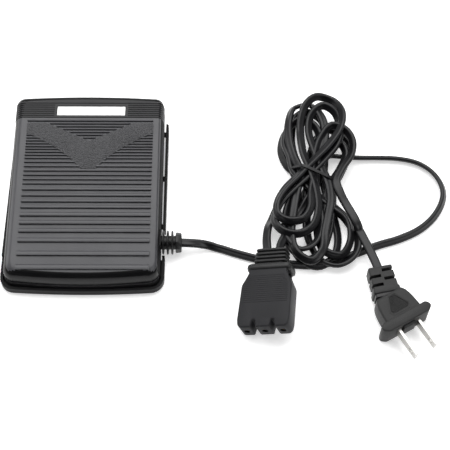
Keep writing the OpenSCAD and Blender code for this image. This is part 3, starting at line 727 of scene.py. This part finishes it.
def lifted(points):
    """Points of the treadle drawn flat, put where they are at rest."""
    c, s = math.cos(TILT), math.sin(TILT)
    return [(x,
             HINGE_Y + (y - HINGE_Y) * c - (z - HINGE_Z) * s,
             HINGE_Z + (y - HINGE_Y) * s + (z - HINGE_Z) * c)
            for x, y, z in points]


def band_drop(y):
    """How far the toe band lies under the tread's level at y."""
    return max(y - BAND_Y, 0) * BAND_DROP


def cover_ring(row, wall=0.0):
    """One ring of the cover's shell, over the skirt and the notch of the strain relief."""
    z, left, right, front, rear = row
    extra = (NOTCH[0] - 0.02, NOTCH[0], NOTCH[1], NOTCH[1] + 0.02, BAND_Y)
    outline = bowed(-HALF_W + left + wall, HALF_W - right - wall, COVER_FRONT + front + wall,
                    COVER_REAR - rear - wall, 2.6, 1.5, 6.5 - wall, 4 - wall, extra)
    ring = []
    for x, y in outline:
        along = (y - COVER_FRONT) / (COVER_REAR - COVER_FRONT)
        skirt = SKIRT_FRONT_Z + (SKIRT_REAR_Z - SKIRT_FRONT_Z) * along
        low = NOTCH[2] if x > 30 and NOTCH[0] <= y <= NOTCH[1] else skirt
        # the ceiling stays level, clear of the bumpers when the treadle is down
        drop = 0 if wall else band_drop(y) * max(z / TREAD_Z, 0) ** 3
        ring.append((x, y, max(z - drop, low)))
    return ring


def cover_rows():
    """COVER_ROWS with rows added along a smooth curve through them."""
    fine = spline([(-r[1], r[0], *r[2:]) for r in COVER_ROWS], 0.9)
    return [(r[1], -r[0], *r[2:]) for r in fine]


def pocket_outline():
    """Outline of the nameplate's pocket, with a point in the middle of its two long sides."""
    half_w, half_l, y = PLATE[0] / 2 + POCKET_GAP, PLATE[1] / 2 + POCKET_GAP, PLATE[2]
    xs = (PAD_X - half_w, PAD_X, PAD_X + half_w)
    corners = [(x, y - half_l) for x in xs] + [(x, y + half_l) for x in xs[::-1]]
    return [(x, y, TREAD_Z - band_drop(y)) for x, y in rounded(corners, 0.6, 2)]


def top_corners(ring, hole):
    """Points at which the cover's top is split: in its edge, the left and right ends of the toe band and
    the middle of the rear; in the pocket's outline, the ones behind and in front of its middle."""
    sides = [k for k in range(len(ring)) if abs(ring[k][1] - BAND_Y) < 1e-6]
    left, right = sorted(sides, key=lambda k: ring[k][0])
    behind = [k for k in range(len(ring)) if ring[k][1] > BAND_Y]
    rear = min(behind, key=lambda k: abs(ring[k][0] - PAD_X / 2))

    def nearest(candidates):
        return min(candidates, key=lambda k: abs(hole[k][0] - ring[rear][0]))

    high = nearest([k for k in range(len(hole)) if hole[k][1] > PLATE[2]])
    low = nearest([k for k in range(len(hole)) if hole[k][1] < PLATE[2]])
    return left, right, rear, high, low


def walk(start, stop, count, way):
    """Indices from start to stop round a ring of count points."""
    out = [start]
    while out[-1] != stop:
        out.append((out[-1] + way) % count)
    return out


def cover_shape():
    """The cover's shell, drawn flat, with the nameplate's pocket in its toe band."""
    rings = [cover_ring(r, WALL) for r in INNER_ROWS] + [cover_ring(r) for r in cover_rows()]
    edge, hole = rings[-1], pocket_outline()
    n, m = len(edge), len(hole)
    left, right, rear, high, low = top_corners(edge, hole)
    points = [p for ring in rings for p in ring] + hole + [(x, y, z - POCKET_DEPTH) for x, y, z in hole]
    top, first, floor = (len(rings) - 1) * n, len(rings) * n, len(rings) * n + m
    mid = len(points)
    points.append((edge[rear][0], BAND_Y, TREAD_Z))

    def on_edge(start, stop):
        return [top + k for k in walk(start, stop, n, 1)]

    def on_hole(start, stop):
        return [first + k for k in walk(start, stop, m, -1)]

    faces = ring_faces(len(rings), n)
    faces.append(tuple(range(n - 1, -1, -1)))
    faces.append((*on_edge(left, right), mid))
    faces.append((mid, *on_edge(right, rear), *on_hole(high, low)))
    faces.append((mid, *on_hole(low, high), *on_edge(rear, left)))
    faces += [(first + k, first + (k + 1) % m, floor + (k + 1) % m, floor + k) for k in range(m)]
    faces.append(tuple(floor + k for k in range(m)))
    shape = Shape()
    shape.add(points, faces)
    return shape


def mark_cover(shape):
    """Gives each face of the cover's shell its material, painted light or painted shade by where the face
    lies and which way it faces.
    """
    for k, face in enumerate(shape.faces):
        y = sum(shape.points[i][1] for i in face) / len(face)
        z = sum(shape.points[i][2] for i in face) / len(face)
        if len(face) != 4:
            shape.marks[k] = ON_BAND_SHADE if y > BAND_Y else ON_PAD
            continue
        a, b, c = (Vector(shape.points[i]) for i in face[:3])
        normal = (b - a).cross(c - b)
        if abs(normal.x) > 0.9 * normal.length:
            shape.marks[k] = ON_SIDE_SHADE
        elif y < NOSE_Y:
            shape.marks[k] = ON_FRONT_LIT if z < FRONT_LIT_TOP else ON_GLOSS_SHADE
        else:
            shape.marks[k] = ON_PAD if z > BEVEL_BOTTOM and y < BAND_Y else ON_GLOSS_SHADE


def merge_points(obj):
    """Joins points that lie in one place and removes the faces that this flattens."""
    data = bmesh.new()
    data.from_mesh(obj.data)
    bmesh.ops.remove_doubles(data, verts=data.verts, dist=1e-7)
    bmesh.ops.dissolve_degenerate(data, dist=1e-7, edges=data.edges)
    data.to_mesh(obj.data)
    data.free()
    obj.data.set_sharp_from_angle(angle=SHARP_ANGLE)


def make_cover():
    """The cover with its ribs, its V and the ridges of its toe band."""
    shape = cover_shape()
    mark_cover(shape)
    add_ribs(shape)
    add_v(shape)
    add_band(shape)
    shape.points = lifted(shape.points)
    cover = shape.piece("cover_shell", "treadle", PAD, GLOSS_SHADE, STIPPLE, FRONT_LIT, BAND_SHADE, SIDE_SHADE)
    merge_points(cover)
    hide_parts("treadle_cover")


# Number and pitch of each group of ribs, from the toe to the heel
RIB_GROUPS = [(10, 1.9), (1, 1.7), (2, 2), (1, 2.1), (1, 2.5), (5, 2.8), (4, 3.8), (3, 5), (1, 6), (2, 8.2)]
FIRST_RIB_Y = 42.6
RIB_HALF = 37.2
RIB_H = 1.25
# Half width of the V at each y: its outer lines, then those of the triangle of ribs inside it
V_OUTER = [(34.6, 37.1), (31.2, 30), (25.5, 20.4), (19.8, 12.7), (12.4, 4.8), (11, 4.4)]
V_INNER = [(41.4, 25.4), (29.4, 0.2)]
V_TOP_Y = 41.2
V_RISE = 0.9


def rib_rows():
    """Front y and depth of every rib; wide ribs grow less than their pitch."""
    y, rows = FIRST_RIB_Y, []
    pitches = [p for n, p in RIB_GROUPS for _ in range(n)]
    for i, pitch in enumerate(pitches):
        if i:
            y -= pitch
        rows.append((y, 0.56 * min(pitch, 4.6) + 0.1 * max(pitch - 4.6, 0)))
    return rows


def rib_section(depth):
    """The rounded section of a rib, as y and z from its front lower edge."""
    high = min(RIB_H, 0.55 + 0.28 * depth)
    return [(0, -0.6), (depth, -0.6), (depth, 0.45 * high), (0.86 * depth, 0.8 * high), (0.6 * depth, high),
            (0.3 * depth, high), (0.12, 0.9 * high), (0, 0.7 * high)]


def v_half(table, y):
    """Half width at y of one of the V's outlines: beyond the tread above it and nothing below it."""
    return float(np.interp(-y, [-v[0] for v in table], [v[1] for v in table], left=99, right=0))


def add_ribs(shape):
    """The ribs of the tread, broken where the V crosses them."""
    for y, depth in rib_rows():
        outer, inner = v_half(V_OUTER, y), v_half(V_INNER, y)
        spans = []
        if y < V_OUTER[-1][0] or y > V_INNER[0][0]:
            spans.append((-RIB_HALF, RIB_HALF))
        else:
            if outer < RIB_HALF - 1:
                spans += [(-RIB_HALF, -outer), (outer, RIB_HALF)]
            if inner > 0.8:
                spans.append((-inner, inner))
        for a, b in spans:
            shape.loft(bar((PAD_X + a, y, TREAD_Z), (PAD_X + b, y, TREAD_Z), rib_section(depth))[::-1])


def add_v(shape):
    """The stippled V, in two arms that meet at its tip."""
    inner = [(-V_INNER[0][1], V_TOP_Y), (0, V_INNER[1][0] - 0.2), (V_INNER[0][1], V_TOP_Y)]
    right = [(half, y) for y, half in V_OUTER]
    left = [(-x, y) for x, y in right[::-1]]
    outline = [(-RIB_HALF, V_TOP_Y), *inner, (RIB_HALF, V_TOP_Y), *right, *left]
    outline = [(PAD_X + x, y) for x, y in outline][::-1]
    shape.loft(slab(outline, TREAD_Z - 0.6, TREAD_Z + V_RISE, 0.12, 2), ON_STIPPLE)


BAND_RIDGES = 8
BAND_PITCH = 1.5
FIRST_RIDGE_Y = 45.6
# The ridges run down the sides to this height, and stop this far from the nameplate
RIDGE_LOW_Z = 7
RIDGE_GAP = 1.6


def add_band(shape):
    """Fine ridges on the toe band, wrapping over both sides."""
    section = [(-0.5, -0.5), (0.5, -0.5), (0.45, 0.12), (0.2, 0.34), (-0.2, 0.34), (-0.45, 0.12)]
    rows = [r for r in cover_rows() if r[0] > RIDGE_LOW_Z]
    left = [(-HALF_W + r[1], r[0]) for r in rows]
    right = [(HALF_W - r[2], r[0]) for r in rows[::-1]]
    plate_left = (PAD_X - PLATE[0] / 2 - RIDGE_GAP, TREAD_Z)
    plate_right = (PAD_X + PLATE[0] / 2 + RIDGE_GAP, TREAD_Z)
    for i in range(BAND_RIDGES):
        y = FIRST_RIDGE_Y + i * BAND_PITCH
        beside_plate = abs(y - PLATE[2]) < PLATE[1] / 2 + 1.2
        runs = [[*left, plate_left], [plate_right, *right]] if beside_plate else [[*left, *right]]
        for run in runs:
            line = np.array(run, float)
            slope = np.gradient(line, axis=0)
            slope /= np.linalg.norm(slope, axis=1)[:, None]
            rings = []
            for (x, z), (dx, dz) in zip(line, slope):
                z -= band_drop(y) * (z / TREAD_Z) ** 3
                rings.append([(x - dz * v, y + u, z + dx * v) for u, v in section])
            shape.loft(rings[::-1], ON_BAND_SHADE)


make_cover()


def make_plate():
    """The blank nameplate in its pocket."""
    half_w, half_l, y = PLATE[0] / 2, PLATE[1] / 2, PLATE[2]
    corners = [(PAD_X - half_w, y - half_l), (PAD_X + half_w, y - half_l),
               (PAD_X + half_w, y + half_l), (PAD_X - half_w, y + half_l)]
    rings = slab(rounded(corners, 0.5), TREAD_Z - 1.2, TREAD_Z, 0.15)
    shape = Shape()
    shape.loft([[(x, v, z - band_drop(v) - 0.05) for x, v, z in ring] for ring in rings])
    shape.points = lifted(shape.points)
    plate = shape.piece("blank_plate", "treadle", LOOKS["plate_white"])
    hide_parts("nameplate")


make_plate()


# ---------- return springs ----------


SPRING_TURNS = 5
SPRING_R = 4.4
SPRING_WIRE_R = 0.6
SPRING_X, SPRING_Y = 24, 36
SPRING_LOW, SPRING_HIGH = 3.0, 20.2


def make_springs():
    """The two coil springs, their end turns closed."""
    shape = Shape()
    rise = SPRING_HIGH - SPRING_LOW - 2 * SPRING_WIRE_R
    for x in (-SPRING_X, SPRING_X):
        path = []
        for t in np.linspace(0, 1, 24 * SPRING_TURNS + 1):
            a = 2 * math.pi * SPRING_TURNS * t
            z = SPRING_LOW + SPRING_WIRE_R + rise * np.interp(t, [0, 0.12, 0.88, 1], [0, 0.04, 0.96, 1])
            path.append((x + SPRING_R * math.cos(a), SPRING_Y + SPRING_R * math.sin(a), z))
        shape.loft(sweep(path, SPRING_WIRE_R, 8))
    springs = shape.piece("coil_springs", "base", LOOKS["spring_steel"])
    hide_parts("return_springs")
    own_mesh(springs)


make_springs()


# ---------- strain relief at the housing ----------


def turned(rows, y, z, count=40, phase=0.0):
    """Rings round an axis along x, one for each (x, radius) row."""
    return [[(x, y + r * math.cos(phase + a), z + r * math.sin(phase + a))
             for a in np.linspace(0, 2 * math.pi, count, endpoint=False)] for x, r in rows]


RELIEF_Y, RELIEF_Z = -30, 7.5
DISC_XS = (45, 47.6, 50.2)
DISC_ROWS = [(0, 3.5), (0, 6.4), (0.12, 6.75), (0.3, 6.9), (0.7, 6.9), (0.88, 6.75), (1, 6.4), (1, 3.5)]


def make_relief():
    """The barrel through the housing's wall, its three thin discs and its eight-sided end."""
    shape = Shape()
    barrel = [(36.4, 4.2), (36.6, 4.4), (38.2, 4.4), (38.4, 4.2), (38.5, 4), (53.2, 4)]
    shape.loft(turned(barrel, RELIEF_Y, RELIEF_Z))
    for disc_x in DISC_XS:
        shape.loft(turned([(disc_x + x, r) for x, r in DISC_ROWS], RELIEF_Y, RELIEF_Z, 48))
    end = [(52.6, 5.4), (52.9, 6), (55.6, 5.7), (56, 5.3)]
    shape.loft(turned(end, RELIEF_Y, RELIEF_Z, 8, math.pi / 8))
    relief = shape.piece("strain_relief_boot", "base", RELIEF_PVC)
    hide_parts("strain_relief")


make_relief()


# ---------- three-hole connector ----------

CONN_TURN = (Matrix.Translation((103, -86, 10.99)) @ Matrix.Rotation(math.radians(-6.5), 4, "Z")
             @ Matrix.Rotation(math.radians(-20), 4, "Y"))
CONN_L, CONN_H = 35, 12
PIN_PITCH = 10.4
PIN_R = 1.7
# Half outline of the connector's body, from between two lobes out and back to the collar
CONN_HALF = [
    (4, -0.8), (4.7, 3.6), (6.3, 3.6), (7.2, -0.8), (13.2, -0.8), (14.7, 1), (15.1, 4), (14.7, 25),
    (11.2, 32.4), (11, CONN_L),
]
COLLAR_ROWS = [
    (34.3, 11.4, 4.4), (34.5, 12.3, 5.6), (35.3, 12.9, 6.3), (36.8, 13, 6.5), (38, 12.8, 6.2),
    (38.7, 12, 5.3), (38.9, 9, 4),
]
NECK_ROWS = [(37.5, 9.6, 4.2), (39, 9.3, 4.1), (39.2, 8, 3.3), (49, 7.4, 3.2)]
# y, change of the half width, and half height of each ring of a relief's rib
RELIEF_RIB = [
    (0, -0.8, 3.6), (0.15, -0.2, 4.3), (0.5, 0, 4.5), (1.1, 0, 4.5), (1.45, -0.2, 4.3), (1.6, -0.8, 3.6),
]
GRIP_RIDGES = 14


def make_connector():
    """The body with its contact holes and the fine ridges of its grip."""
    outline = CONN_HALF + [(-x, y) for x, y in CONN_HALF[::-1]]
    body = Shape()
    body.loft(slab(rounded(outline, 0.7, 2), -CONN_H / 2, CONN_H / 2, 0.9, 3, 1.9))
    holes = Shape()
    around = np.linspace(0, 2 * math.pi, 24, endpoint=False)
    for i in (-1, 0, 1):
        ring = [(i * PIN_PITCH + PIN_R * math.cos(a), PIN_R * math.sin(a)) for a in around]
        holes.loft([[(x, y, z) for x, z in ring] for y in (-2, CONN_L + 2)][::-1])
    body = carve(body, holes)
    section = [(-0.42, -0.3), (0.42, -0.3), (0.3, 0.1), (0, 0.2), (-0.3, 0.1)]
    for k in range(GRIP_RIDGES):
        y = 14.5 + 1.25 * k
        half = float(np.interp(y, [3, 25, 32.2], [13.9, 13.5, 9.8])) - 0.6
        body.loft(bar((-half, y, CONN_H / 2), (half, y, CONN_H / 2), section)[::-1])
    connector = body.moved(CONN_TURN).piece("connector_shell", "base", CONNECTOR)
    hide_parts("connector_body")


def make_connector_relief():
    """The collar, the neck and its four ribs."""
    shape = Shape()
    shape.loft(stacked(COLLAR_ROWS, 3.2))
    shape.loft(stacked(NECK_ROWS, 2))
    for i in range(4):
        y, w = 40.3 + 2.35 * i, 9.7 - 0.25 * i
        shape.loft(stacked([(y + along, w + wider, h) for along, wider, h in RELIEF_RIB], 1.6))
    relief = shape.moved(CONN_TURN).piece("connector_boot", "base", RELIEF_PVC)
    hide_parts("connector_relief")


make_connector()
make_connector_relief()


# ---------- mains plug ----------

PLUG_TURN = Matrix.Translation((182, -82.2, 7.6)) @ Matrix.Rotation(math.radians(30), 4, "Z")
PLUG_BEND = Matrix.Translation((0, 20.6, 0)) @ Matrix.Rotation(math.radians(-18), 4, "Z")


PLUG_ROWS = [
    (3, 11.4, 6.4), (5.6, 11.4, 6.4), (9, 11.2, 6.4), (12, 10.9, 6.4), (15, 10.4, 6.4), (17.5, 9.7, 6.4),
    (19, 9, 6.2), (19.9, 8.4, 5.8), (20.3, 7.8, 5.3),
]
RECESS = [(-1.9, 17.8), (-5.7, 10), (-4.9, 8.1), (4.9, 8.1), (5.7, 10), (1.9, 17.8)]
RECESS_FLOOR = 5.8
RIM_LOW, RIM_HIGH = 6.2, 6.6
HATCH_PITCH = 1.045
HATCH_HALF = 0.16
DIAGONAL = 0.7071
FLANGE = [(-16, 2.2), (-13, 0), (13, 0), (16, 2.2), (15.8, 4), (14.2, 6), (-14.2, 6), (-15.8, 4)]
FACE_PLATE = [(-4, -1.6), (4, -1.6), (4, 0.6), (-4, 0.6)]
BOOT_ROWS = [
    (0.9, 7, 4.6), (1.1, 7.6, 5.3), (1.5, 7.8, 5.5), (3.6, 7.6, 5.4), (4.6, 7.1, 5.2), (16.9, 6.9, 5.1),
    (17.3, 6.6, 4.8), (17.5, 6, 4.2),
]
# y of each pair of slots in the relief, with the x between which it is cut
BOOT_SLOTS = [(14.6, 0.4, 9), (9.2, 0.4, 9), (11.4, -9, -0.9), (6, -9, -0.9)]


def box(low, high):
    """Rings of an upright box between two corners."""
    (x0, y0, z0), (x1, y1, z1) = low, high
    return [[(x0, y0, z), (x1, y0, z), (x1, y1, z), (x0, y1, z)] for z in (z0, z1)]


def clip_line(point, way, outline):
    """The stretch of a line that lies inside a convex outline, or None where it is very short."""
    p, d = np.array(point), np.array(way)
    low, high = -99.0, 99.0
    corners = np.array(outline)
    area = sum(a[0] * b[1] - b[0] * a[1] for a, b in zip(np.roll(corners, 1, 0), corners))
    corners = corners if area > 0 else corners[::-1]
    for a, b in zip(corners, np.roll(corners, -1, 0)):
        inwards = np.array([-(b - a)[1], (b - a)[0]])
        rate, gap = float(inwards @ d), float(inwards @ (p - a))
        if abs(rate) < 1e-9:
            if gap < 0:
                return None
        elif rate > 0:
            low = max(low, -gap / rate)
        else:
            high = min(high, -gap / rate)
    return (tuple(p + d * low), tuple(p + d * high)) if high - low > 0.6 else None


def add_hatching(shape):
    """Fine crossed ridges on the floor of the recess."""
    grid = inset(RECESS, 0.35)
    for way in (-1, 1):
        nx, ny = DIAGONAL * HATCH_HALF, -way * DIAGONAL * HATCH_HALF
        for k in range(-9, 10):
            line = clip_line((HATCH_PITCH * k, 12.7), (way * DIAGONAL, DIAGONAL), grid)
            if line:
                (ax, ay), (bx, by) = line
                ring = [(ax - nx, ay - ny), (ax + nx, ay + ny), (bx + nx, by + ny), (bx - nx, by - ny)]
                shape.loft([[(x, y, z) for x, y in ring][::way] for z in (RECESS_FLOOR - 0.05, 6.12)])


def plug_grip():
    """The plug's body with the recess for the fingers, and a rim round that."""
    grip = Shape()
    grip.loft(stacked(PLUG_ROWS, 1.6))
    cutters = Shape()
    cutters.loft(slab(rounded(RECESS, 0.5, 2), RECESS_FLOOR, 8, 0.05, 1))
    grip = carve(grip, cutters)
    add_hatching(grip)
    outer, inner = rounded(inset(RECESS, -0.95), 0.8, 2), rounded(inset(RECESS, -0.55), 0.7, 2)
    rim = [[(x, y, z) for x, y in ring] for ring, z in
           ((inner, RIM_LOW), (outer, RIM_LOW), (outer, RIM_HIGH), (inner, RIM_HIGH))]
    grip.add([p for ring in rim for p in ring], looped(len(rim), len(outer)))
    return grip


def plug_boot():
    """The relief, slotted by turns from both sides."""
    boot = Shape()
    boot.loft(stacked(BOOT_ROWS, 1.0))
    slots = Shape()
    for y, x0, x1 in BOOT_SLOTS:
        for z0, z1 in ((1.4, 7), (-7, -1.4)):
            slots.loft(box((x0, y - 0.95, z0), (x1, y + 0.95, z1)))
    return carve(boot, slots)


def make_plug():
    """The grip, the flange, the raised middle of its face, and the relief that bends off to one side."""
    body = plug_grip()
    body.loft(slab(rounded(FLANGE, 0.9, 2), -7.5, 7.5, 0.9))
    body.loft(slab(rounded(FACE_PLATE, 0.5, 2), -4.4, 4.4, 0.5))
    neck = Shape()
    neck.loft(stacked([(-1, 7.2, 4.7), (1.4, 7.1, 4.7), (2.4, 7, 4.6)], 1.2))
    for part, mark in ((neck, 1), (plug_boot(), 0)):
        body.add(part.moved(PLUG_BEND).points, part.faces, mark)
    plug = body.moved(PLUG_TURN).piece("plug_shell", "base", PLUG, PVC)
    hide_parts("plug_body")


make_plug()

soften_edges("base_housing", 0.3)


# ---------- floor and light ----------


FLOOR_HALF = 3.0
FLOOR_GLOW = 0.45


def add_floor():
    """A wide white floor that glows a little, so that it comes out white."""
    data = bpy.data.meshes.new("floor")
    s = FLOOR_HALF
    data.from_pydata([(-s, -s, 0), (s, -s, 0), (s, s, 0), (-s, s, 0)], [], [(0, 1, 2, 3)])
    floor = bpy.data.objects.new("floor", data)
    bpy.context.scene.collection.objects.link(floor)
    mat, tree, bsdf = shader("floor_white", (0.93, 0.93, 0.93), 0.9, specular=0.1)
    bsdf.inputs["Emission Color"].default_value = (1, 1, 1, 1)
    bsdf.inputs["Emission Strength"].default_value = FLOOR_GLOW
    paint(floor, mat)


def add_world():
    """A grey studio, dark on the camera's side and brighter behind the pedal."""
    world = bpy.data.worlds.new("studio")
    world.use_nodes = True
    sky = world.node_tree
    coord = sky.nodes.new("ShaderNodeTexCoord")
    split = sky.nodes.new("ShaderNodeSeparateXYZ")
    fade = sky.nodes.new("ShaderNodeMapRange")
    for socket, value in (("From Min", -0.75), ("From Max", 0.35), ("To Min", 0.04), ("To Max", 0.5)):
        fade.inputs[socket].default_value = value
    sky.links.new(coord.outputs["Generated"], split.inputs["Vector"])
    sky.links.new(split.outputs["Y"], fade.inputs["Value"])
    sky.links.new(fade.outputs["Result"], sky.nodes["Background"].inputs["Color"])
    bpy.context.scene.world = world


def area_light(name, place, aim, size, power):
    """A rectangular light turned towards a point."""
    data = bpy.data.lights.new(name, "AREA")
    data.shape = "RECTANGLE"
    data.size, data.size_y = size
    data.energy = power
    lamp = bpy.data.objects.new(name, data)
    lamp.location = place
    lamp.rotation_euler = (Vector(aim) - Vector(place)).to_track_quat("-Z", "Y").to_euler()
    bpy.context.scene.collection.objects.link(lamp)


# Name, place, point aimed at, size, and power in watts
LIGHTS = [
    ("key", (0.0, 0.45, 1.0), (0.08, 0, 0), (1.5, 1.1), 16),
    ("fill", (0.9, -0.5, 0.8), (0.08, 0, 0), (0.5, 0.5), 3),
    ("side", (-1.06, 0.26, 0.36), (-0.04, -0.02, 0.01), (0.45, 0.5), 2.6),
]

add_floor()
add_world()
for light in LIGHTS:
    area_light(*light)
bpy.context.scene.view_settings.view_transform = "Standard"
